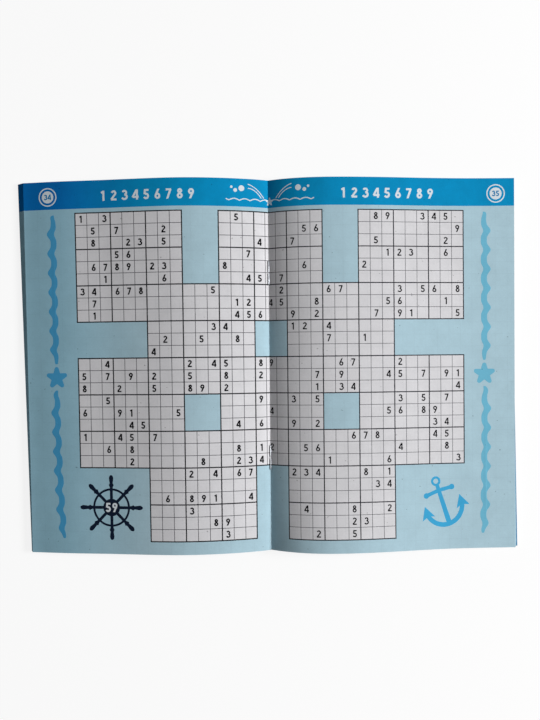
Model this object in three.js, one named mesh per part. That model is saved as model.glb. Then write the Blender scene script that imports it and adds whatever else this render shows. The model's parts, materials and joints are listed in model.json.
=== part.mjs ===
// A stapled puzzle book lying open at its centre spread: sixteen folded sheets in a folded cover,
// held by two wire staples. Units are millimetres, +X to the reader's right, +Y to the head of the
// page, +Z up. Each sheet is cut at its fold into a left and a right leaf, so that leaves can turn.
import * as THREE from 'three';

// Page format and stock
const pageWidth = 145;
const pageHeight = 215;
const sheetCount = 16;
const paper = 0.1;
const coverStock = 0.16;
const airGap = 0.08;
const trimStep = 0.15;

// How the open book lies: both halves rise from the fold, arch over and settle flat at the fore-edge
const foldLift = 0.5;
const foldSlope = 0.31;
const archHeight = 9;
const archAt = { left: 50, right: 32 };
const flatTail = 19;
const foldSlit = 0.55;

// Staples
const wireRadius = 0.3;
const crown = 14;
const stapleAt = pageHeight / 4;
const clinchGap = 1.4;
const bendRadius = 0.7;
const wireSides = 12;

const pitch = paper + airGap;
const tailStart = pageWidth - flatTail;
const foldTop = foldLift + coverStock + sheetCount * pitch;
export const hingeHeight = foldTop + 0.23;

// Underside of the outer cover at a distance from the fold, as two cubic spans and a flat tail
function underside(distance, side) {
  const peak = archAt[side];
  if (distance >= tailStart) return 0;
  if (distance > peak) {
    const t = (distance - peak) / (tailStart - peak);
    return archHeight * (1 - t * t * (3 - 2 * t));
  }
  const t = distance / peak;
  const start = foldLift * (1 - t * t * (3 - 2 * t)) + foldSlope * peak * t * (1 - t) * (1 - t);
  return start + archHeight * t * t * (3 - 2 * t);
}

// Leaf 0 is the cover and leaf 16 the centre sheet. Each leaf lies one pitch above the one below,
// and is trimmed one step shorter, as the fore-edges of an opened booklet are.
function leafRows(order, side) {
  const base = order === 0 ? 0 : coverStock + airGap + (order - 1) * pitch;
  const stock = order === 0 ? coverStock : paper;
  const reach = pageWidth - order * trimStep;
  const stations = [foldSlit, 4, 9, 15, 22, 31, 41, 52, 65, 80, 97, 113, tailStart, reach];
  const rows = stations.map((distance) => {
    const low = underside(distance, side) + base;
    return { x: side === 'left' ? -distance : distance, low, high: low + stock };
  });
  return side === 'left' ? rows.reverse() : rows;
}

function closedMesh(points, triangles) {
  const geometry = new THREE.BufferGeometry();
  geometry.setAttribute('position', new THREE.Float32BufferAttribute(points.flat(), 3));
  geometry.setIndex(triangles.flat());
  geometry.computeVertexNormals();
  return geometry;
}

// One leaf: its bent profile drawn along the height of the page
function leafGeometry(rows) {
  const half = pageHeight / 2;
  const points = rows.flatMap(({ x, low, high }) => [
    [x, -half, low], [x, -half, high], [x, half, low], [x, half, high],
  ]);
  const triangles = [];
  const quad = (a, b, c, d) => triangles.push([a, b, c], [a, c, d]);
  for (let i = 0; i + 1 < rows.length; i++) {
    const a = 4 * i;
    const b = a + 4;
    quad(a + 1, b + 1, b + 3, a + 3);
    quad(a, a + 2, b + 2, b);
    quad(a, b, b + 1, a + 1);
    quad(a + 2, a + 3, b + 3, b + 2);
  }
  const last = 4 * (rows.length - 1);
  quad(2, 0, 1, 3);
  quad(last, last + 2, last + 3, last + 1);
  return closedMesh(points, triangles);
}

// The staple's wire in the plane of the fold: clinched leg, leg, crown, leg, clinched leg
function staplePath(centre) {
  const half = crown / 2;
  const low = wireRadius;
  const path = [[-clinchGap / 2, hingeHeight]];
  const bend = (y, z, from) => {
    for (let i = 0; i <= 4; i++) {
      const turn = from + (i / 4) * (Math.PI / 2);
      path.push([y + bendRadius * Math.cos(turn), z + bendRadius * Math.sin(turn)]);
    }
  };
  bend(-half + bendRadius, hingeHeight - bendRadius, Math.PI / 2);
  bend(-half + bendRadius, low + bendRadius, Math.PI);
  bend(half - bendRadius, low + bendRadius, 1.5 * Math.PI);
  bend(half - bendRadius, hingeHeight - bendRadius, 0);
  path.push([clinchGap / 2, hingeHeight]);
  return path.map(([y, z]) => [y + centre, z]);
}

function wireGeometry(path) {
  const points = [];
  const triangles = [];
  path.forEach(([y, z], i) => {
    const before = path[Math.max(i - 1, 0)];
    const after = path[Math.min(i + 1, path.length - 1)];
    const length = Math.hypot(after[0] - before[0], after[1] - before[1]);
    const across = [-(after[1] - before[1]) / length, (after[0] - before[0]) / length];
    for (let k = 0; k < wireSides; k++) {
      const turn = (2 * Math.PI * k) / wireSides;
      const out = wireRadius * Math.sin(turn);
      points.push([wireRadius * Math.cos(turn), y + out * across[0], z + out * across[1]]);
    }
  });
  for (let i = 0; i + 1 < path.length; i++) {
    for (let k = 0; k < wireSides; k++) {
      const a = i * wireSides + k;
      const b = i * wireSides + ((k + 1) % wireSides);
      triangles.push([a, a + wireSides, b + wireSides], [a, b + wireSides, b]);
    }
  }
  const end = (path.length - 1) * wireSides;
  for (let k = 1; k + 1 < wireSides; k++) {
    triangles.push([0, k, k + 1], [end, end + k + 1, end + k]);
  }
  return closedMesh(points, triangles);
}

const book = new THREE.Group();
book.name = 'puzzle_book';

function add(name, geometry, colour, roughness, metalness = 0) {
  const material = new THREE.MeshStandardMaterial({ color: colour, roughness, metalness });
  const mesh = new THREE.Mesh(geometry, material);
  mesh.name = name;
  book.add(mesh);
}

add('cover_front_leaf', leafGeometry(leafRows(0, 'left')), 0x2f86b8, 0.35);
add('cover_back_leaf', leafGeometry(leafRows(0, 'right')), 0x2f86b8, 0.35);
for (let sheet = sheetCount; sheet >= 1; sheet--) {
  const order = sheetCount + 1 - sheet;
  const number = String(sheet).padStart(2, '0');
  for (const side of ['left', 'right']) {
    add(`sheet_${number}_${side}_leaf`, leafGeometry(leafRows(order, side)), 0xb9d3df, 0.85);
  }
}
add('staple_head', wireGeometry(staplePath(stapleAt)), 0xb4b8bd, 0.3, 1);
add('staple_foot', wireGeometry(staplePath(-stapleAt)), 0xb4b8bd, 0.3, 1);

export default book;
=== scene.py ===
import json
import math

import bpy
import numpy as np
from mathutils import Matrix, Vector
from mathutils.geometry import delaunay_2d_cdt


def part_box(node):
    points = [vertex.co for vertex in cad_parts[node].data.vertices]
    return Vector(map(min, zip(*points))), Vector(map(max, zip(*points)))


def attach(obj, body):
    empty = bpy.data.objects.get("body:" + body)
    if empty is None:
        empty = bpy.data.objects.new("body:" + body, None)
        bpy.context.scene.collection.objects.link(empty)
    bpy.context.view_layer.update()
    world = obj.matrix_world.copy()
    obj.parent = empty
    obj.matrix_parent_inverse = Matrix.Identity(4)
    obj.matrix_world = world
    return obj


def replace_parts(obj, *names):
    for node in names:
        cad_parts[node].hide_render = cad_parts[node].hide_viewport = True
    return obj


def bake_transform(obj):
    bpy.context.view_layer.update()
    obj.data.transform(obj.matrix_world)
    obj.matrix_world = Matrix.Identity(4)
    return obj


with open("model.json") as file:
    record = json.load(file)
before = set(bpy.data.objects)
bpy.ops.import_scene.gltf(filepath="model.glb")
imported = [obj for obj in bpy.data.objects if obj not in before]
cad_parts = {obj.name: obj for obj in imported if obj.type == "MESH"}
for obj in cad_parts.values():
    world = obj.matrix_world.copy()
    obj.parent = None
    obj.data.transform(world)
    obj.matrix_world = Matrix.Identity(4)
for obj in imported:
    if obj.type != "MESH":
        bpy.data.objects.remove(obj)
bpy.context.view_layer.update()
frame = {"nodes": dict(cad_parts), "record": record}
scene = bpy.context.scene
mm = 0.001
heldBody = "bound_left_half"
sheetCount = 16
cellSize = (6.88, 6.99)
print("frame loaded")


# colours are written as the eye reads them, 0 to 255
def ink(red, green, blue):
    def linear(value):
        value /= 255
        return value / 12.92 if value <= 0.04045 else ((value + 0.055) / 1.055) ** 2.4
    return (linear(red), linear(green), linear(blue), 1)


# node groups shared by the printed materials
def newGroup(name, inputs, outputs):
    group = bpy.data.node_groups.new(name, "ShaderNodeTree")
    for label, kind, value in inputs:
        socket = group.interface.new_socket(label, in_out="INPUT", socket_type=kind)
        socket.default_value = value
    for label, kind in outputs:
        group.interface.new_socket(label, in_out="OUTPUT", socket_type=kind)
    return group, group.nodes.new("NodeGroupInput"), group.nodes.new("NodeGroupOutput")


def node(tree, kind, **values):
    made = tree.nodes.new(kind)
    for name, value in values.items():
        setattr(made, name, value)
    return made


def feed(tree, socket, value):
    if hasattr(value, "is_output"):
        tree.links.new(value, socket)
    else:
        socket.default_value = value


def maths(tree, operation, first, second=0.0, third=0.0):
    made = node(tree, "ShaderNodeMath", operation=operation)
    for socket, value in zip(made.inputs, (first, second, third)):
        feed(tree, socket, value)
    return made.outputs[0]


def noise(tree, place, scale, detail=2.0, roughness=0.5):
    made = node(tree, "ShaderNodeTexNoise")
    feed(tree, made.inputs["Vector"], place)
    made.inputs["Scale"].default_value = scale
    made.inputs["Detail"].default_value = detail
    made.inputs["Roughness"].default_value = roughness
    return made.outputs["Fac"]


def mixColour(tree, blend, factor, first, second):
    made = node(tree, "ShaderNodeMix", data_type="RGBA", blend_type=blend)
    feed(tree, made.inputs[0], factor)
    feed(tree, made.inputs[6], first)
    feed(tree, made.inputs[7], second)
    return made.outputs[2]


def setInputs(made, values):
    for label, value in values.items():
        made.inputs[label].default_value = value


# where a point lies on the page: across and up, in millimetres from the top left corner of the lattice
def pagePlace(tree):
    split = node(tree, "ShaderNodeSeparateXYZ")
    feed(tree, split.inputs[0], node(tree, "ShaderNodeUVMap", uv_map="pagePlace").outputs[0])
    return split.outputs


# scales are per metre, depths are shares of the colour, and the relief is in millimetres
paperLook = dict(
    fibreScale=1400, fibreDepth=0.07, blotchScale=80, blotchDepth=0.13, blotchRoughness=0.7,
    speckScale=700, speckLevel=0.86, speckDepth=0.4, patchScale=60, reliefDepth=0.02,
)


# uneven stock: fine fibres over slow blotches and a few dark specks, plus a height for the bump
def makeFibreGroup():
    group, given, out = newGroup(
        "paperFibre",
        [("Colour", "NodeSocketColor", (1, 1, 1, 1)), ("Depth", "NodeSocketFloat", 1.0)],
        [("Colour", "NodeSocketColor"), ("Height", "NodeSocketFloat")],
    )
    place = node(group, "ShaderNodeTexCoord").outputs["Object"]
    fibre = noise(group, place, paperLook["fibreScale"], 3)
    blotch = noise(group, place, paperLook["blotchScale"], 4, paperLook["blotchRoughness"])
    fine = maths(group, "MULTIPLY", maths(group, "SUBTRACT", fibre, 0.5), 2 * paperLook["fibreDepth"])
    slow = maths(group, "MULTIPLY", maths(group, "SUBTRACT", blotch, 0.5), 2 * paperLook["blotchDepth"])
    shade = maths(group, "MULTIPLY_ADD", maths(group, "ADD", fine, slow), given.outputs["Depth"], 1.0)
    specks = noise(group, place, paperLook["speckScale"], 0)
    speck = maths(group, "GREATER_THAN", specks, paperLook["speckLevel"])
    shade = maths(group, "MULTIPLY_ADD", speck, -paperLook["speckDepth"], shade)
    grey = node(group, "ShaderNodeCombineColor")
    for socket in grey.inputs[:3]:
        feed(group, socket, shade)
    colour = mixColour(group, "MULTIPLY", 1.0, given.outputs["Colour"], grey.outputs[0])
    feed(group, out.inputs["Colour"], colour)
    feed(group, out.inputs["Height"], fibre)
    return group


# patchy lines between cells, read from the place on the page: faint ones show through from the other face
def makeLatticeGroup():
    group, given, out = newGroup(
        "cellLattice",
        [("Colour", "NodeSocketColor", (1, 1, 1, 1)), ("Line", "NodeSocketColor", (0, 0, 0, 1)),
         ("Strength", "NodeSocketFloat", 1.0), ("Width", "NodeSocketFloat", 0.05),
         ("Shift", "NodeSocketFloat", 0.0)],
        [("Colour", "NodeSocketColor")],
    )
    near = []
    for along, cell in zip(pagePlace(group), cellSize):
        shifted = maths(group, "ADD", along, given.outputs["Shift"])
        near.append(maths(group, "PINGPONG", maths(group, "DIVIDE", shifted, cell), 0.5))
    line = maths(group, "LESS_THAN", maths(group, "MINIMUM", *near), given.outputs["Width"])
    place = node(group, "ShaderNodeTexCoord").outputs["Object"]
    patch = maths(group, "MULTIPLY", line, noise(group, place, paperLook["patchScale"], 2))
    mask = maths(group, "MULTIPLY", patch, given.outputs["Strength"])
    ruled = mixColour(group, "MIX", mask, given.outputs["Colour"], given.outputs["Line"])
    feed(group, out.inputs["Colour"], ruled)
    return group


# painted shade: an ink darkened across the page, in its own colour at one place and in a shaded colour at
# another, standing in for the shade where the page turns away from the lamp
def makeDensityGroup():
    group, given, out = newGroup(
        "paintedShadeFalloff",
        [("Colour", "NodeSocketColor", (1, 1, 1, 1)), ("Shaded", "NodeSocketColor", (0, 0, 0, 1)),
         ("LitAt", "NodeSocketFloat", 40.0), ("ShadedAt", "NodeSocketFloat", -10.0)],
        [("Colour", "NodeSocketColor")],
    )
    share = node(group, "ShaderNodeMapRange")
    feed(group, share.inputs["Value"], pagePlace(group)[0])
    feed(group, share.inputs["From Min"], given.outputs["LitAt"])
    feed(group, share.inputs["From Max"], given.outputs["ShadedAt"])
    laid = mixColour(group, "MIX", share.outputs[0], given.outputs["Colour"], given.outputs["Shaded"])
    feed(group, out.inputs["Colour"], laid)
    return group


fibreGroup = makeFibreGroup()
latticeGroup = makeLatticeGroup()
shadeFalloffGroup = makeDensityGroup()

# values for the groups by socket: lines that show through, lines of the inner pages, and painted shade that
# darkens the tint and band towards the left edge, and the lines from the middle of the right page over the
# fold and the left page
showThrough = dict(Strength=0.08, Width=0.03, Shift=1.9, Line=ink(60, 84, 104))
innerLines = dict(Strength=1.6, Width=0.02, Line=ink(84, 86, 92))
tintShading = dict(Shaded=ink(144, 186, 203))
bandShading = dict(Shaded=ink(0, 104, 176))
thinLineShading = dict(Shaded=ink(66, 66, 72), LitAt=190, ShadedAt=110)
thickLineShading = dict(Shaded=ink(16, 16, 22), LitAt=190, ShadedAt=110)


def printedMaterial(name, colour, shading=None, roughness=0.86, fibre=1.0, lines=None, bump=0.12, gloss=0.25):
    material = bpy.data.materials.new(name)
    material.use_nodes = True
    tree = material.node_tree
    shader = tree.nodes["Principled BSDF"]
    shader.inputs["Roughness"].default_value = roughness
    shader.inputs["Specular IOR Level"].default_value = gloss
    grain = node(tree, "ShaderNodeGroup", node_tree=fibreGroup)
    grain.inputs["Depth"].default_value = fibre
    grain.inputs["Colour"].default_value = colour
    if shading:
        falloff = node(tree, "ShaderNodeGroup", node_tree=shadeFalloffGroup)
        setInputs(falloff, dict(shading, Colour=colour))
        feed(tree, grain.inputs["Colour"], falloff.outputs["Colour"])
    shown = grain.outputs["Colour"]
    if lines:
        ruled = node(tree, "ShaderNodeGroup", node_tree=latticeGroup)
        setInputs(ruled, lines)
        feed(tree, ruled.inputs["Colour"], shown)
        shown = ruled.outputs["Colour"]
    feed(tree, shader.inputs["Base Color"], shown)
    relief = node(tree, "ShaderNodeBump")
    relief.inputs["Strength"].default_value = bump
    relief.inputs["Distance"].default_value = paperLook["reliefDepth"] * mm
    feed(tree, relief.inputs["Height"], grain.outputs["Height"])
    feed(tree, shader.inputs["Normal"], relief.outputs["Normal"])
    return material


pagePrint = {
    # the tint, band and both line inks carry painted shade from the group above
    "tint": printedMaterial("pageTint", ink(168, 197, 209), shading=tintShading, lines=showThrough),
    "cell": printedMaterial("cellPaper", ink(213, 212, 215), lines=showThrough),
    "thin": printedMaterial("cellLine", ink(88, 88, 94), shading=thinLineShading),
    "thick": printedMaterial("boxLine", ink(38, 38, 46), shading=thickLineShading),
    "band": printedMaterial("headerBand", ink(0, 138, 190), shading=bandShading, fibre=1.4, gloss=0.1),
    "edge": printedMaterial("trimmedEdge", ink(206, 210, 212), fibre=1.6),
}
innerPrint = dict(pagePrint, cell=printedMaterial("innerCellPaper", ink(213, 212, 215), lines=innerLines))
darkInk = printedMaterial("darkInk", ink(14, 14, 18), gloss=0.1)
navyInk = printedMaterial("navyInk", ink(6, 20, 40), gloss=0.1)
# the left border's ink is a darker copy of the right border's: painted shade on the page that turns away from
# the lamp
waveInk = {
    "left": printedMaterial("shadedWaveInk", ink(66, 151, 196)),
    "right": printedMaterial("waveInk", ink(106, 178, 204)),
}
anchorInk = printedMaterial("anchorInk", ink(56, 160, 206))
bandInk = printedMaterial("bandInk", ink(8, 118, 170))
whiteInk = printedMaterial("bareWhite", ink(214, 222, 228))
coverInside = printedMaterial("coverInside", ink(52, 112, 152), roughness=0.5, fibre=0.6, bump=0.05)
print("print and paper materials made")


# the lattice of cells on the spread, in millimetres from mid-height and from the middle of the print,
# which lies a little to the right of the fold, and its grids by the row and column of their first box
lattice = dict(
    columns=33, rows=27, cell=cellSize, top=88.8, header=91.4, offFold=1.2,
    thin=dict(left=0.34, right=0.3), thick=dict(left=0.7, right=0.62), overlap=0.08,
)
pageHalf = round((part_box("cover_front_leaf")[1][1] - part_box("cover_front_leaf")[0][1]) / mm / 2, 3)
spreadGrids = [(0, 0), (0, 4), (0, 8), (2, 2), (2, 6), (4, 0), (4, 4), (4, 8), (6, 2), (6, 6)]
innerGrids = [(1, 1), (1, 7), (5, 1), (5, 7)]


def blockMap(grids):
    blocks = np.zeros((lattice["rows"] // 3, lattice["columns"] // 3), bool)
    for row, column in grids:
        blocks[row:row + 3, column:column + 3] = True
    return blocks


def columnLine(index):
    return (index - lattice["columns"] / 2) * lattice["cell"][0]


def rowLine(index):
    return lattice["top"] - index * lattice["cell"][1]


# the lie of the leaves beyond what the solids have, in millimetres: slow waves, a belly in the tail,
# fore-edges that part and slip, a crease at the fold, shoulders beside it and an arch that grows to the foot
leafLie = dict(
    wave=0.35, waveLength=34, waveStart=2.2,
    belly=dict(left=3.4, right=0.6), bellyFrom=50, bellySkew=1.8, bellyPower=1.5,
    part=dict(left=0.3, right=0.8), partPower=4,
    slip=dict(left=(3.0, 1.75), right=(-0.2, 0.8)), coverSlip=dict(left=0, right=-0.6),
    outset=dict(left=-1.3, right=-1.6), trim=dict(left=1.7, right=0),
    crease=1.3, creaseReach=4.5, bendReach=9.0, bulk=0.055, profileSteps=900,
    shoulder=dict(
        left=((0, 0), (10, 0.45), (20, 0.85), (35, 1.15), (55, 1.3), (75, 1.0), (105, 0.1), (150, 0)),
        right=((0, 0), (9, 0.35), (14, 0.2), (22, -0.45), (28, -0.75), (45, -0.5), (75, 0), (150, 0)),
    ),
    footArch=dict(
        left=((0, 0), (150, 0)),
        right=((0, 0), (10, 1.1), (20, 2.1), (35, 2.9), (50, 3.0), (75, 2.0), (110, 0.4), (150, 0)),
    ),
    footFrom=-15.0, footPower=3.0,
)


# how a leaf lies, read from its CAD solid and smoothed between the solid's rows: level 0 is the cover and
# level 1 the centre sheet
class Lie:
    def __init__(self, nodeName):
        points = np.array([v.co for v in frame["nodes"][nodeName].data.vertices]) / mm
        self.sign = 1 if points[:, 0].mean() > 0 else -1
        self.side = "right" if self.sign > 0 else "left"
        self.level = 0 if nodeName.startswith("cover") else 1 - (int(nodeName.split("_")[1]) - 1) / sheetCount
        away = np.round(np.abs(points[:, 0]), 2)
        rows = np.unique(away)
        high = np.array([points[away == row, 2].max() for row in rows])
        low = np.array([points[away == row, 2].min() for row in rows])
        self.stock = float(np.median(high - low)) + (leafLie["bulk"] if self.level else 0)
        self.reach = float(rows[-1])
        slope = (high[1] - high[0]) / (rows[1] - rows[0])
        rows = np.concatenate([[0.0], rows])
        high = np.concatenate([[high[0] - slope * rows[1]], high])
        self.away = np.linspace(0, self.reach, leafLie["profileSteps"])
        self.high = self.smooth(rows, high, self.away)
        self.high = self.high + self.smooth(*np.array(leafLie["shoulder"][self.side], float).T, self.away)
        share = np.clip((self.away - leafLie["bellyFrom"]) / (self.reach - leafLie["bellyFrom"]), 0, 1)
        belly = np.sin(math.pi * share ** leafLie["bellySkew"]) ** leafLie["bellyPower"]
        rise = leafLie["crease"] * (1 - np.exp(-self.away / leafLie["creaseReach"]))
        self.high = self.high + rise * (1 - self.away / self.reach) ** 2
        part = leafLie["part"][self.side] * self.level * (self.away / self.reach) ** leafLie["partPower"]
        self.high = self.high + leafLie["belly"][self.side] * belly + part
        self.footArch = self.smooth(*np.array(leafLie["footArch"][self.side], float).T, self.away)
        steps = np.hypot(np.diff(self.away), np.diff(self.high))
        self.flat = np.concatenate([[0], np.cumsum(steps)])
        self.end = self.flat[-1] - leafLie["trim"][self.side] * self.level

    # a cubic curve through points, level at its end
    @staticmethod
    def smooth(x, y, at):
        slopes = np.gradient(y, x)
        slopes[-2:] = 0
        span = np.clip(np.searchsorted(x, at, side="right") - 1, 0, len(x) - 2)
        width = x[span + 1] - x[span]
        t = (at - x[span]) / width
        return ((2 * t ** 3 - 3 * t ** 2 + 1) * y[span] + (t ** 3 - 2 * t ** 2 + t) * width * slopes[span]
                + (3 * t ** 2 - 2 * t ** 3) * y[span + 1] + (t ** 3 - t ** 2) * width * slopes[span + 1])

    # flat paper (distance from the fold, height on the page, lift off the sheet) to the frame in metres
    def place(self, along, up, lift=0.0):
        away = np.interp(along, self.flat, self.away)
        high = np.interp(away, self.away, self.high)
        toFoot = np.clip((leafLie["footFrom"] - up) / (leafLie["footFrom"] + pageHalf), 0, 1)
        high = high + toFoot ** leafLie["footPower"] * np.interp(away, self.away, self.footArch)
        share = away / self.reach
        slipLow, slipTop = leafLie["slip"][self.side]
        slip = slipLow + (slipTop - slipLow) * self.level
        if self.level == 0:
            slip += leafLie["coverSlip"][self.side]
        away = away + share * (slip * up / pageHalf + leafLie["outset"][self.side] * (1 - self.level))
        swell = np.sin(math.pi * share) ** 2
        turn = up / leafLie["waveLength"] + leafLie["waveStart"] * self.sign
        wave = leafLie["wave"] * swell * (1 + np.sin(turn))
        return np.stack([self.sign * away, up, high + wave + lift], axis=-1) * mm


# columns of a page's mesh besides its printed lines, close together near the fold and wider further out, and
# the angle past which an edge is sharp
meshStep = dict(first=0.6, near=0.8, nearReach=12, far=2.1, fromEnds=0.2, fromLines=0.35, sharpAngle=35)


def fineSteps(reach):
    near = np.arange(meshStep["first"], meshStep["nearReach"], meshStep["near"])
    return np.concatenate([near, np.arange(meshStep["nearReach"], reach, meshStep["far"])])


# both edges of every line on a finely printed page, and of the box lines alone on the others
def linePairs(lines, fine, side):
    found = []
    for index, line in lines:
        width = lattice["thick" if index % 3 == 0 else "thin"][side]
        if fine or index % 3 == 0:
            found += [line - width / 2, line + width / 2]
    return found


def meshLines(lie, fine):
    first, last = meshStep["fromEnds"], lie.end - meshStep["fromEnds"]
    columns = [(i, lie.sign * (columnLine(i) + lattice["offFold"])) for i in range(lattice["columns"] + 1)]
    along = [0, lie.end] + [a for a in linePairs(columns, fine, lie.side) if first < a < last]
    along = np.array(sorted(along))
    extra = [a for a in fineSteps(lie.end) if np.abs(along - a).min() > meshStep["fromLines"]]
    rows = [(i, rowLine(i)) for i in range(lattice["rows"] + 1)]
    up = [-pageHalf, pageHalf, lattice["header"]] + linePairs(rows, fine, lie.side)
    return np.array(sorted(list(along) + extra)), np.array(sorted(up))


# which print covers a face, from the middle of the face: box lines reach a little past the boxes they frame
def printAt(lie, along, up, blocks, fine):
    kind = np.full(along.shape, "tint", dtype="<U5")
    column = (lie.sign * along - lattice["offFold"]) / lattice["cell"][0] + lattice["columns"] / 2
    row = (lattice["top"] - up) / lattice["cell"][1]
    padded = np.pad(blocks, 1)

    def active(dRow, dColumn):
        r = np.clip(np.floor((row + dRow) / 3).astype(int) + 1, 0, padded.shape[0] - 1)
        c = np.clip(np.floor((column + dColumn) / 3).astype(int) + 1, 0, padded.shape[1] - 1)
        return padded[r, c]

    inside = active(0, 0)
    kind[inside] = "cell"
    nearColumn = np.abs(column - np.round(column)) * lattice["cell"][0]
    nearRow = np.abs(row - np.round(row)) * lattice["cell"][1]
    if fine:
        half = lattice["thin"][lie.side] / 2
        kind[inside & ((nearColumn < half) | (nearRow < half))] = "thin"
    half = lattice["thick"][lie.side] / 2
    over = lattice["overlap"]
    near = active(over, over) | active(over, -over) | active(-over, over) | active(-over, -over)
    boxColumn = (np.round(column) % 3 == 0) & (nearColumn < half)
    boxRow = (np.round(row) % 3 == 0) & (nearRow < half)
    kind[near & (boxColumn | boxRow)] = "thick"
    kind[up > lattice["header"]] = "band"
    return kind


# a leaf as one closed mesh of top, underside and rim, with a print on every face
def closedSheet(name, lie, along, up, topKind, underKind, kinds):
    alongAll, upAll = np.meshgrid(along, up, indexing="ij")
    top = lie.place(alongAll, upAll).reshape(-1, 3)
    under = lie.place(alongAll, upAll, -lie.stock).reshape(-1, 3)
    count, wide, high = len(top), len(along), len(up)
    at = np.arange(count).reshape(wide, high)
    quads = np.stack([at[:-1, :-1], at[1:, :-1], at[1:, 1:], at[:-1, 1:]], axis=-1).reshape(-1, 4)
    ring = np.concatenate([at[:, 0], at[-1, 1:], at[-2::-1, -1], at[0, -2:0:-1]])
    after = np.roll(ring, -1)
    rim = np.stack([ring, ring + count, after + count, after], axis=-1)
    faces = np.concatenate([quads, quads[:, ::-1] + count, rim])
    if lie.sign < 0:
        faces = faces[:, ::-1]
    mesh = bpy.data.meshes.new(name)
    mesh.from_pydata(np.concatenate([top, under]).tolist(), [], faces.tolist())
    index = {kind: i for i, kind in enumerate(kinds)}
    faceKinds = list(topKind.ravel()) + list(underKind.ravel()) + ["edge"] * len(rim)
    mesh.polygons.foreach_set("material_index", [index[kind] for kind in faceKinds])
    mesh.polygons.foreach_set("use_smooth", [True] * len(faces))
    across = lie.sign * alongAll - lattice["offFold"] - columnLine(0)
    flat = np.stack([across, upAll - rowLine(0)], axis=-1).reshape(-1, 2)
    corners = np.empty(len(mesh.loops), int)
    mesh.loops.foreach_get("vertex_index", corners)
    places = np.concatenate([flat, flat])[corners]
    mesh.uv_layers.new(name="pagePlace").data.foreach_set("uv", places.ravel())
    mesh.set_sharp_from_angle(angle=math.radians(meshStep["sharpAngle"]))
    for material in kinds.values():
        mesh.materials.append(material)
    made = bpy.data.objects.new(name, mesh)
    scene.collection.objects.link(made)
    return made


def bodyOf(nodeName):
    bodies = frame["record"]["behaviour"]["bodies"]
    return next(body for body, names in bodies.items() if nodeName in names)


# leaves on the right are left loose with their placing baked into the mesh, and the left ones stay with the
# staples
def bindPiece(piece, nodeName):
    body = bodyOf(nodeName)
    if body == heldBody:
        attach(piece, body)
    else:
        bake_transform(piece)
    return piece


def makeLeaf(nodeName, grids, underGrids, fine):
    lie = Lie(nodeName)
    along, up = meshLines(lie, fine)
    middle = np.meshgrid((along[1:] + along[:-1]) / 2, (up[1:] + up[:-1]) / 2, indexing="ij")
    topKind = printAt(lie, *middle, blockMap(grids), fine)
    underKind = printAt(lie, *middle, blockMap(underGrids), fine)
    kinds = pagePrint if fine else innerPrint
    piece = closedSheet(nodeName.replace("sheet", "page"), lie, along, up, topKind, underKind, kinds)
    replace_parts(bindPiece(piece, nodeName), nodeName)
    lie.columns = lie.sign * along
    return lie


lies = {}
for sheet in range(sheetCount, 0, -1):
    for side in ("left", "right"):
        name = f"sheet_{sheet:02d}_{side}_leaf"
        lies[name] = makeLeaf(name, spreadGrids if sheet == 1 else innerGrids, innerGrids, sheet == 1)
print("inner leaves made:", len(lies))


# cover: glossy outer face with broad rows of waves, inner face plain blue
coverLook = dict(
    step=2.4, blue=ink(24, 116, 176), pale=ink(104, 170, 200), paleShare=0.34,
    rowHeight=26.0, waveLength=34.0, waveHeight=4.2,
    roughness=0.3, fibre=0.5, bump=0.03, coat=0.35, coatRoughness=0.15,
)


def makeCoverPrint():
    stock = {key: coverLook[key] for key in ("roughness", "fibre", "bump")}
    material = printedMaterial("coverWaves", coverLook["blue"], **stock)
    tree = material.node_tree
    coat = {"Coat Weight": coverLook["coat"], "Coat Roughness": coverLook["coatRoughness"]}
    setInputs(tree.nodes["Principled BSDF"], coat)
    across, up, _ = pagePlace(tree)
    turn = maths(tree, "MULTIPLY", across, 2 * math.pi / coverLook["waveLength"])
    swung = maths(tree, "MULTIPLY_ADD", maths(tree, "SINE", turn), coverLook["waveHeight"], up)
    row = maths(tree, "FRACT", maths(tree, "DIVIDE", swung, coverLook["rowHeight"]))
    crest = maths(tree, "LESS_THAN", row, coverLook["paleShare"])
    grain = next(n for n in tree.nodes if n.type == "GROUP")
    feed(tree, grain.inputs["Colour"], mixColour(tree, "MIX", crest, coverLook["blue"], coverLook["pale"]))
    return material


def makeCover(nodeName, coverPrint):
    lie = Lie(nodeName)
    along = np.array([0] + list(fineSteps(lie.flat[-1])) + [lie.flat[-1]])
    up = np.linspace(-pageHalf, pageHalf, int(2 * pageHalf / coverLook["step"]))
    shape = (len(along) - 1, len(up) - 1)
    kinds = {"outside": coverPrint, "inside": coverInside, "edge": pagePrint["edge"]}
    inside, outside = np.full(shape, "inside"), np.full(shape, "outside")
    piece = closedSheet(nodeName.replace("_leaf", "_skin"), lie, along, up, inside, outside, kinds)
    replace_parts(bindPiece(piece, nodeName), nodeName)


coverPrint = makeCoverPrint()
for name in ("cover_front_leaf", "cover_back_leaf"):
    makeCover(name, coverPrint)
print("cover made")


# printed figures are lists of parts, and a part is its outlines and the holes in them, in millimetres
inkFilm = dict(depth=0.022, sunk=0.01, clueWeight=dict(left=0.2, right=0.17), boldWeight=0.2, tolerance=1e-5)


def arc(centre, radius, start, end, steps=16):
    turns = np.radians(np.linspace(start, end, steps))
    return [(centre[0] + radius[0] * math.cos(t), centre[1] + radius[1] * math.sin(t)) for t in turns]


def circle(radius, centre=(0, 0), points=40):
    return arc(centre, (radius, radius), 0, 360, points + 1)[:-1]


# a strip of even width along a path
def strip(path, width):
    points = np.array(path, float)
    along = np.gradient(points, axis=0)
    along /= np.linalg.norm(along, axis=1)[:, None]
    across = np.stack([-along[:, 1], along[:, 0]], axis=1) * width / 2
    return [tuple(p) for p in points + across] + [tuple(p) for p in (points - across)[::-1]]


def turned(outline, angle):
    c, s = math.cos(angle), math.sin(angle)
    return [(c * x - s * y, s * x + c * y) for x, y in outline]


numeralWidth = 0.58


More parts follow.
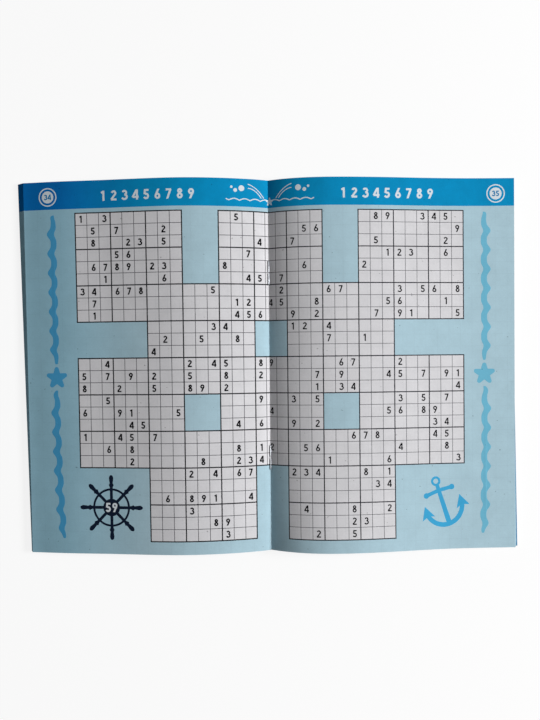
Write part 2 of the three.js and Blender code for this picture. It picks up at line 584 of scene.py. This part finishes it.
# round geometric numerals, one unit tall, drawn as strokes of even weight
def drawNumerals(weight):
    half = weight / 2
    waist = 0.54
    upper, lower = (1 - half - waist) / 2, (waist - half) / 2

    def stroke(*path):
        return [strip(path, weight)], []

    def bowl(centre, radius):
        inner = (radius[0] - weight, radius[1] - weight)
        return [arc(centre, radius, 0, 350, 36)], [arc(centre, inner, 0, 350, 36)]

    def upsideDown(outlines):
        return [[(numeralWidth - x, 1 - y) for x, y in outline] for outline in outlines]

    wide, high = numeralWidth / 2, 0.3
    six = [bowl((wide, high), (wide, high))]
    lean = math.radians(155)
    start = (wide + (wide - half) * math.cos(lean), high + (high - half) * math.sin(lean))
    six.append(stroke(start, (start[0] + 0.36, start[1] + 0.78)))
    nine = [(upsideDown(solids), upsideDown(holes)) for solids, holes in six]
    tail = 38
    two = arc((0.28, 0.72), (0.28 - half, 0.28 - half), 168, -tail)
    slope = (two[-1][1] - half) / math.cos(math.radians(tail))
    two.append((two[-1][0] - slope * math.sin(math.radians(tail)), half))
    return {
        "1": [stroke((0.33, -0.1), (0.33, 1.1)), stroke((0.33, 1 - half), (0.1, 0.79))],
        "2": [stroke(*two), stroke((0.0, half), (0.56, half))],
        "3": [stroke(*arc((0.27, 1 - half - upper), (upper * 1.05, upper), 158, -90)),
              stroke(*arc((0.27, half + lower), (lower * 1.12, lower), 90, -158))],
        "4": [stroke((0.46, 1.08), (0.0, 0.24)), stroke((0.0, 0.27), (0.6, 0.27)),
              stroke((0.44, -0.1), (0.44, 1.0))],
        "5": [stroke((0.13, 1 - half), (0.52, 1 - half)), stroke((0.165, 1.0), (0.1, 0.5)),
              stroke(*arc((0.25, 0.32), (0.31 - half, 0.32 - half), 128, -155))],
        "6": six,
        "7": [stroke((0.02, 1 - half), (0.55, 1 - half)), stroke((0.5, 1 - half / 2), (0.13, -0.1))],
        "8": [bowl((wide, 0.755), (0.24, 0.245)), bowl((wide, 0.29), (0.285, 0.29))],
        "9": nine,
    }


numerals = {side: drawNumerals(weight) for side, weight in inkFilm["clueWeight"].items()}
numerals["bold"] = drawNumerals(inkFilm["boldWeight"])


def anticlockwise(outline):
    x, y = np.array(outline).T
    return outline if np.sum(x * np.roll(y, -1) - y * np.roll(x, -1)) > 0 else outline[::-1]


# a figure's outlines are joined and cut along the columns of the page, so that its film lies on every facet,
# and cut off past the rows where they are given and past the fold
def filmFaces(parts, columns, rows, sign):
    points, faces, owners = [], [], []
    for number, (solids, holes) in enumerate(parts):
        for outline in solids + holes:
            faces.append(list(range(len(points), len(points) + len(outline))))
            points += anticlockwise(outline)
        owners += [(number, True)] * len(solids) + [(number, False)] * len(holes)
    spread = np.array(points)
    (left, foot), (right, head) = spread.min(axis=0) - 1, spread.max(axis=0) + 1
    cuts = [((c, foot), (c, head)) for c in columns if left < c < right]
    cuts += [((left, r), (right, r)) for r in rows]
    edges = []
    for start, end in cuts:
        edges.append((len(points), len(points) + 1))
        points += [start, end]
    wholeHull = 0  # every triangle between the points, of which the loop below keeps the inked ones
    flat, _, triangles, _, _, inside = delaunay_2d_cdt(
        [Vector(p) for p in points], edges, faces, wholeHull, inkFilm["tolerance"])
    kept = []
    for triangle, found in zip(triangles, inside):
        middle = sum((flat[i] for i in triangle), Vector((0, 0))) / 3
        filled = {owners[f][0] for f in found if owners[f][1]}
        pierced = {owners[f][0] for f in found if not owners[f][1]}
        within = not rows or rows[0] < middle.y < rows[1]
        if filled - pierced and within and middle.x * sign > 0:
            kept.append(tuple(triangle))
    used = sorted({i for triangle in kept for i in triangle})
    place = {old: new for new, old in enumerate(used)}
    kept = [tuple(place[i] for i in triangle) for triangle in kept]
    rim = {(t[i], t[(i + 1) % 3]) for t in kept for i in range(3)}
    rim = [edge for edge in sorted(rim) if (edge[1], edge[0]) not in rim]
    count = len(used)
    under = [tuple(i + count for i in triangle[::-1]) for triangle in kept]
    walls = [(b, a, a + count, b + count) for a, b in rim]
    return np.array([flat[i] for i in used]).reshape(-1, 2), kept + under + walls


# the printed figures of one ink on one page, laid on it as one film
class Figures:
    def __init__(self, nodeName):
        self.nodeName, self.lie = nodeName, lies[nodeName]
        self.points, self.faces, self.count = [], [], 0

    def add(self, parts, centre=(0, 0), scale=1.0, level=0, rows=()):
        def moved(outlines):
            across, up = centre[0] + lattice["offFold"], centre[1]
            return [[(across + scale * x, up + scale * y) for x, y in outline] for outline in outlines]

        parts = [(moved(solids), moved(holes)) for solids, holes in parts]
        columns = np.concatenate([[0.0], self.lie.columns])
        flat, faces = filmFaces(parts, columns, rows, self.lie.sign)
        for lift in ((1 + level) * inkFilm["depth"], -inkFilm["sunk"]):
            self.points.append(self.lie.place(self.lie.sign * flat[:, 0], flat[:, 1], lift))
        self.faces += [[i + self.count for i in face] for face in faces]
        self.count += 2 * len(flat)

    # numbers centred on a point, each figure set to the height given
    def write(self, text, centre, height, spacing, style="bold", level=0):
        start = centre[0] - spacing * (len(text) - 1) / 2
        rows = (centre[1] - height / 2, centre[1] + height / 2)
        for index, letter in enumerate(text):
            corner = (start + index * spacing - height * numeralWidth / 2, rows[0])
            self.add(numerals[style][letter], corner, height, level, rows)

    def lay(self, name, material):
        mesh = bpy.data.meshes.new(name)
        mesh.from_pydata(np.concatenate(self.points).tolist(), [], self.faces)
        mesh.materials.append(material)
        made = bpy.data.objects.new(name, mesh)
        scene.collection.objects.link(made)
        bindPiece(made, self.nodeName)


# numbers follow one rule that holds in every box, row and column of each grid, and a number on the fold is
# printed on both pages
clues = dict(height=4.1, share=0.27, seed=5, nearFold=1.0)


def clueAt(row, column):
    return (3 * (row % 3) + row // 3 % 3 + column) % 9 + 1


def printClues():
    draws = np.random.RandomState(clues["seed"]).rand(lattice["rows"], lattice["columns"])
    blocks = blockMap(spreadGrids)
    pages = {side: Figures(f"sheet_01_{side}_leaf") for side in ("left", "right")}
    for row in range(lattice["rows"]):
        for column in range(lattice["columns"]):
            if not blocks[row // 3, column // 3] or draws[row, column] > clues["share"]:
                continue
            centre = (columnLine(column + 0.5), rowLine(row + 0.5))
            for side, sign in (("left", -1), ("right", 1)):
                if (centre[0] + lattice["offFold"]) * sign > -clues["nearFold"]:
                    pages[side].write(str(clueAt(row, column)), centre, clues["height"], 0, side)
    for side, figures in pages.items():
        figures.lay(f"clues_{side}", darkInk)


printClues()
print("clues printed")


# side borders: two wavy ribbons of water and a starfish on each page
borders = dict(
    away=dict(left=126.6, right=125.6), upper=(1.8, 88.0), lower=(-98.8, -13.4), starUp=-6.2,
    drift=dict(left=2.4, right=-1.2), width=3.5, endWidth=0.3, taper=9.0, step=0.55,
    crest=(1.4, 2.2), waveLength=11.2, cuspPower=3.6, phase=dict(upper=0.4, lower=1.1),
    armReach=6.4, armRoot=2.9, armTip=1.25,
)


# scallops bow towards the fold and their cusps point to the fore-edge
def ribbon(length, phase, drift, outward):
    count = int(length / borders["step"])
    inner, outer = [], []
    for i in range(count + 1):
        up = length * (i / count - 0.5)
        end = math.sqrt(max(0, min(1, (length / 2 - abs(up)) / borders["taper"])))
        cusp = abs(math.cos(math.pi * up / borders["waveLength"] + phase)) ** borders["cuspPower"]
        lean = drift * (0.5 - up / length) ** 2
        half = borders["width"] / 2 * (borders["endWidth"] + (1 - borders["endWidth"]) * end)
        inner.append((lean - outward * (half - borders["crest"][0] * end * cusp), up))
        outer.append((lean + outward * (half + borders["crest"][1] * end * cusp), up))
    return [([inner + outer[::-1]], [])]


def starfish(reach, root, tip):
    arm = arc((reach - tip, 0), (tip, tip), -80, 80, 12) + [(0, root), (-root * 0.4, 0), (0, -root)]
    return [([turned(arm, math.radians(90 + 72 * k)) for k in range(5)], [])]


def printBorders(side, sign):
    figures = Figures(f"sheet_01_{side}_leaf")
    across = sign * borders["away"][side]
    for key in ("upper", "lower"):
        low, high = borders[key]
        drift = borders["drift"][side] if key == "lower" else 0
        figures.add(ribbon(high - low, borders["phase"][key], drift, sign), (across, (low + high) / 2))
    star = starfish(borders["armReach"], borders["armRoot"], borders["armTip"])
    figures.add(star, (across, borders["starUp"]))
    figures.lay(f"borders_{side}", waveInk[side])


# ship's wheel that carries the puzzle's number: a spoke is given as half widths by distance from the centre
helm = dict(
    centre=(-95.5, -80.8), rim=(11.0, 9.8), hub=5.0, number="59", numberHeight=5.3, numberStep=3.9, spokes=8,
    spoke=[(3.5, 0.85), (11.4, 0.85), (12.3, 1.15), (12.9, 1.55), (13.6, 1.0), (14.2, 0.95), (16.6, 1.3)],
    knob=(2.08, 1.3),
)


def printHelm():
    reach = helm["spoke"][-1][0]
    spoke = helm["spoke"] + arc((reach, 0), helm["knob"], 80, -80, 9)
    spoke += [(away, -half) for away, half in helm["spoke"][::-1]]
    outer, inner = (circle(radius, points=72) for radius in helm["rim"])
    parts = [([outer], [inner]), ([circle(helm["hub"])], [])]
    parts += [([turned(spoke, 2 * math.pi * k / helm["spokes"])], []) for k in range(helm["spokes"])]
    figures = Figures("sheet_01_left_leaf")
    figures.add(parts, helm["centre"])
    figures.lay("helm", navyInk)
    number = Figures("sheet_01_left_leaf")
    number.write(helm["number"], helm["centre"], helm["numberHeight"], helm["numberStep"], level=1)
    number.lay("helm_number", whiteInk)


# plain anchor, in millimetres about a point on its shank
anchor = dict(
    centre=(100.5, -80.5), tilt=0.32, ring=(2.8, 1.5), top=11.5, foot=-13.0, shankHalf=(1.1, 1.5),
    stock=8.0, stockUp=(6.8, 7.4), stockWidth=2.2, knob=1.6, arms=11.0, armsUp=-2, armsWidth=2.7,
    fluke=((10.9, 1.2), (14.8, -6.4), (10.4, -4.8), (6.8, -6.2)),
)


def printAnchor():
    top, foot, stock, reach = anchor["top"], anchor["foot"], anchor["stock"], anchor["arms"]
    topHalf, footHalf = anchor["shankHalf"]
    ends, middle = anchor["stockUp"]
    eye = (0, top + anchor["ring"][1])
    arms = arc((0, anchor["armsUp"]), (reach, reach), 190, 350, 30)
    parts = [
        ([circle(anchor["ring"][0], eye)], [circle(anchor["ring"][1], eye)]),
        ([[(-topHalf, top), (topHalf, top), (footHalf, foot), (-footHalf, foot)]], []),
        ([strip([(-stock, ends), (0, middle), (stock, ends)], anchor["stockWidth"])], []),
        *[([circle(anchor["knob"], (sign * stock, ends), 20)], []) for sign in (-1, 1)],
        ([strip(arms, anchor["armsWidth"])], []),
        *[([[(sign * x, y) for x, y in anchor["fluke"]]], []) for sign in (1, -1)],
    ]

    def tilted(outlines):
        return [turned(outline, anchor["tilt"]) for outline in outlines]

    figures = Figures("sheet_01_right_leaf")
    figures.add([(tilted(solids), tilted(holes)) for solids, holes in parts], anchor["centre"])
    figures.lay("anchor", anchorInk)


# header: a row of numbers, a ringed page number, and surf with spray, bubbles and a starfish at the fold
header = dict(
    title="123456789", titleAway=(-71.4, 68.7), titleUp=98.4, titleHeight=5.8, titleStep=6.35,
    badgeAway=(-129.6, 132.6), badgeUp=98.6, badgeRing=(5.4, 4.7), badgeDisc=3.5,
    folio=("34", "35"), folioHeight=3.2, folioStep=2.3,
    surf=(1.2, 26.5), surfSteps=70, surfUp=95.0, surfLength=6.2, surfRise=1.0, surfWidth=0.6,
    spray=((5.6, 96.8), (9.0, 101.8), (13.6, 102.2)), spraySteps=24,
    sprayWidth=0.5, spraySpread=2.3, sprayLean=0.7,
    bubbles=((17.4, 102.0, 1.7), (21.0, 100.8, 1.1), (23.2, 102.6, 0.75)),
    star=(-0.2, 95.0), starSize=(2.5, 0.9, 0.5),
)


def printHeader(side, sign):
    figures = Figures(f"sheet_01_{side}_leaf")
    title = (header["titleAway"][sign > 0], header["titleUp"])
    figures.write(header["title"], title, header["titleHeight"], header["titleStep"])
    badge = (header["badgeAway"][sign > 0], header["badgeUp"])
    outer, inner = (circle(r) for r in header["badgeRing"])
    figures.add([([outer], [inner]), ([circle(header["badgeDisc"])], [])], badge)
    surf = []
    for away in np.linspace(*header["surf"], header["surfSteps"]):
        rise = header["surfRise"] * abs(math.sin(math.pi * away / header["surfLength"]))
        surf.append((sign * away, header["surfUp"] + rise))
    parts = [([strip(surf, header["surfWidth"])], [])]
    low, bend, high = (np.array(p) for p in header["spray"])
    for spread in (0, header["spraySpread"]):
        path = []
        for t in np.linspace(0, 1, header["spraySteps"]):
            x, y = (1 - t) ** 2 * low + 2 * t * (1 - t) * bend + t * t * high
            path.append((sign * (x - header["sprayLean"] * spread * (1 - t)), y + spread * t))
        parts.append(([strip(path, header["sprayWidth"])], []))
    parts += [([circle(radius, (sign * away, up), 28)], []) for away, up, radius in header["bubbles"]]
    starX, starY = header["star"]
    arms = starfish(*header["starSize"])[0][0]
    parts.append(([[(x + starX, y + starY) for x, y in arm] for arm in arms], []))
    figures.add(parts)
    figures.lay(f"header_{side}", whiteInk)
    folio = Figures(f"sheet_01_{side}_leaf")
    folio.write(header["folio"][sign > 0], badge, header["folioHeight"], header["folioStep"], level=1)
    folio.lay(f"folio_{side}", bandInk)


for side, sign in (("left", -1), ("right", 1)):
    printBorders(side, sign)
    printHeader(side, sign)
printHelm()
printAnchor()
print("ornaments printed")


# staples: round wire along the path of the CAD solids, with legs that stand a little prouder of the fold
stapleLook = dict(
    bend=0.7, bendSteps=6, clinch=0.8, proud=0.5, roughness=(0.24, 0.44), drawnScale=900,
    pale=ink(190, 193, 198), dull=ink(140, 144, 150),
)


def makeSteel():
    material = bpy.data.materials.new("stitchingWire")
    material.use_nodes = True
    tree = material.node_tree
    shader = tree.nodes["Principled BSDF"]
    shader.inputs["Metallic"].default_value = 1
    place = node(tree, "ShaderNodeTexCoord").outputs["Object"]
    drawn = noise(tree, place, stapleLook["drawnScale"], 3)
    ramp = node(tree, "ShaderNodeMapRange")
    feed(tree, ramp.inputs["Value"], drawn)
    smooth, rough = stapleLook["roughness"]
    setInputs(ramp, {"To Min": smooth, "To Max": rough})
    feed(tree, shader.inputs["Roughness"], ramp.outputs[0])
    shade = mixColour(tree, "MIX", drawn, stapleLook["pale"], stapleLook["dull"])
    feed(tree, shader.inputs["Base Color"], shade)
    return material


def makeStaple(nodeName, steel):
    low, high = (np.array(c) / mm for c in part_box(nodeName))
    radius = (high[0] - low[0]) / 2
    bottom, top = low[2] + radius, high[2] - radius + stapleLook["proud"]
    foot, head = low[1] + radius, high[1] - radius
    middle, bend = (foot + head) / 2, stapleLook["bend"]
    path = [(middle - stapleLook["clinch"] / 2, top)]
    corners = [(foot + bend, top - bend, 90), (foot + bend, bottom + bend, 180),
               (head - bend, bottom + bend, 270), (head - bend, top - bend, 0)]
    for y, z, start in corners:
        for step in range(stapleLook["bendSteps"] + 1):
            turn = math.radians(start + 90 * step / stapleLook["bendSteps"])
            path.append((y + bend * math.cos(turn), z + bend * math.sin(turn)))
    path.append((middle + stapleLook["clinch"] / 2, top))
    curve = bpy.data.curves.new(nodeName + "_wire", "CURVE")
    curve.dimensions = "3D"
    curve.bevel_depth = radius * mm
    curve.bevel_resolution = 5
    curve.use_fill_caps = True
    spline = curve.splines.new("POLY")
    spline.points.add(len(path) - 1)
    spline.points.foreach_set("co", [c for y, z in path for c in (0, y * mm, z * mm, 1)])
    spline.use_smooth = True
    wire = bpy.data.objects.new(nodeName + "_wire", curve)
    scene.collection.objects.link(wire)
    curve.materials.append(steel)
    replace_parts(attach(wire, heldBody), nodeName)


steel = makeSteel()
for name in ("staple_head", "staple_foot"):
    makeStaple(name, steel)
print("staples made")

# lamp, floor, backdrop and camera
light = dict(
    key=dict(place=(1.29, 0.06, 0.76), size=0.38, watts=27.2), fill=0.16,
    floor=ink(250, 250, 250), floorRoughness=0.9, floorSize=4.0, floorDrop=0.0002, floorGlow=0.85,
)
world = bpy.data.worlds.new("studio")
scene.world = world
world.use_nodes = True
sky = world.node_tree
background = sky.nodes["Background"]
path = node(sky, "ShaderNodeLightPath")
seen = maths(sky, "MAXIMUM", path.outputs["Is Camera Ray"], path.outputs["Is Glossy Ray"])
seen = maths(sky, "MAXIMUM", seen, path.outputs["Is Transmission Ray"])
feed(sky, background.inputs["Strength"], maths(sky, "MULTIPLY_ADD", seen, 1 - light["fill"], light["fill"]))
background.inputs["Color"].default_value = (1, 1, 1, 1)


def addLamp(name, place, size, watts, target=(0, 0, 0)):
    lamp = bpy.data.lights.new(name, "AREA")
    lamp.size = size
    lamp.energy = watts
    holder = bpy.data.objects.new(name, lamp)
    scene.collection.objects.link(holder)
    holder.location = place
    holder.rotation_euler = (Vector(target) - Vector(place)).to_track_quat("-Z", "Y").to_euler()


addLamp("keyLamp", **light["key"])

floorMesh = bpy.data.meshes.new("floor")
half = light["floorSize"] / 2
corners = [(-half, -half, 0), (half, -half, 0), (half, half, 0), (-half, half, 0)]
floorMesh.from_pydata(corners, [], [(0, 1, 2, 3)])
floor = bpy.data.objects.new("floor", floorMesh)
floor.location.z = -light["floorDrop"]
scene.collection.objects.link(floor)
floorMaterial = bpy.data.materials.new("whiteFloor")
floorMaterial.use_nodes = True
tree = floorMaterial.node_tree
lit = tree.nodes["Principled BSDF"]
setInputs(lit, {"Base Color": light["floor"], "Roughness": light["floorRoughness"]})
glow = node(tree, "ShaderNodeEmission")
mix = node(tree, "ShaderNodeMixShader")
path = node(tree, "ShaderNodeLightPath")
feed(tree, mix.inputs[0], maths(tree, "MULTIPLY", path.outputs["Is Camera Ray"], light["floorGlow"]))
tree.links.new(lit.outputs[0], mix.inputs[1])
tree.links.new(glow.outputs[0], mix.inputs[2])
tree.links.new(mix.outputs[0], tree.nodes["Material Output"].inputs["Surface"])
floorMesh.materials.append(floorMaterial)

# the camera looks straight down from a height in metres, over a centre in millimetres, and a page's height
# spans so many of the frame's pixels
shot = dict(
    height=0.46, pageLift=0.006, centre=(0.2, 3.0), roll=-0.6, pixelsPerPage=371, frameHeight=720, sensor=36,
)
camera = bpy.data.objects.new("camera", bpy.data.cameras.new("camera"))
scene.collection.objects.link(camera)
focalPixels = shot["pixelsPerPage"] / (2 * pageHalf * mm) * (shot["height"] - shot["pageLift"])
camera.data.sensor_fit = "VERTICAL"
camera.data.sensor_height = shot["sensor"]
camera.data.lens = focalPixels / shot["frameHeight"] * shot["sensor"]
camera.location = (shot["centre"][0] * mm, shot["centre"][1] * mm, shot["height"])
camera.rotation_euler = (0, 0, math.radians(shot["roll"]))
scene.camera = camera
scene.view_settings.view_transform = "Standard"
print("stage set")
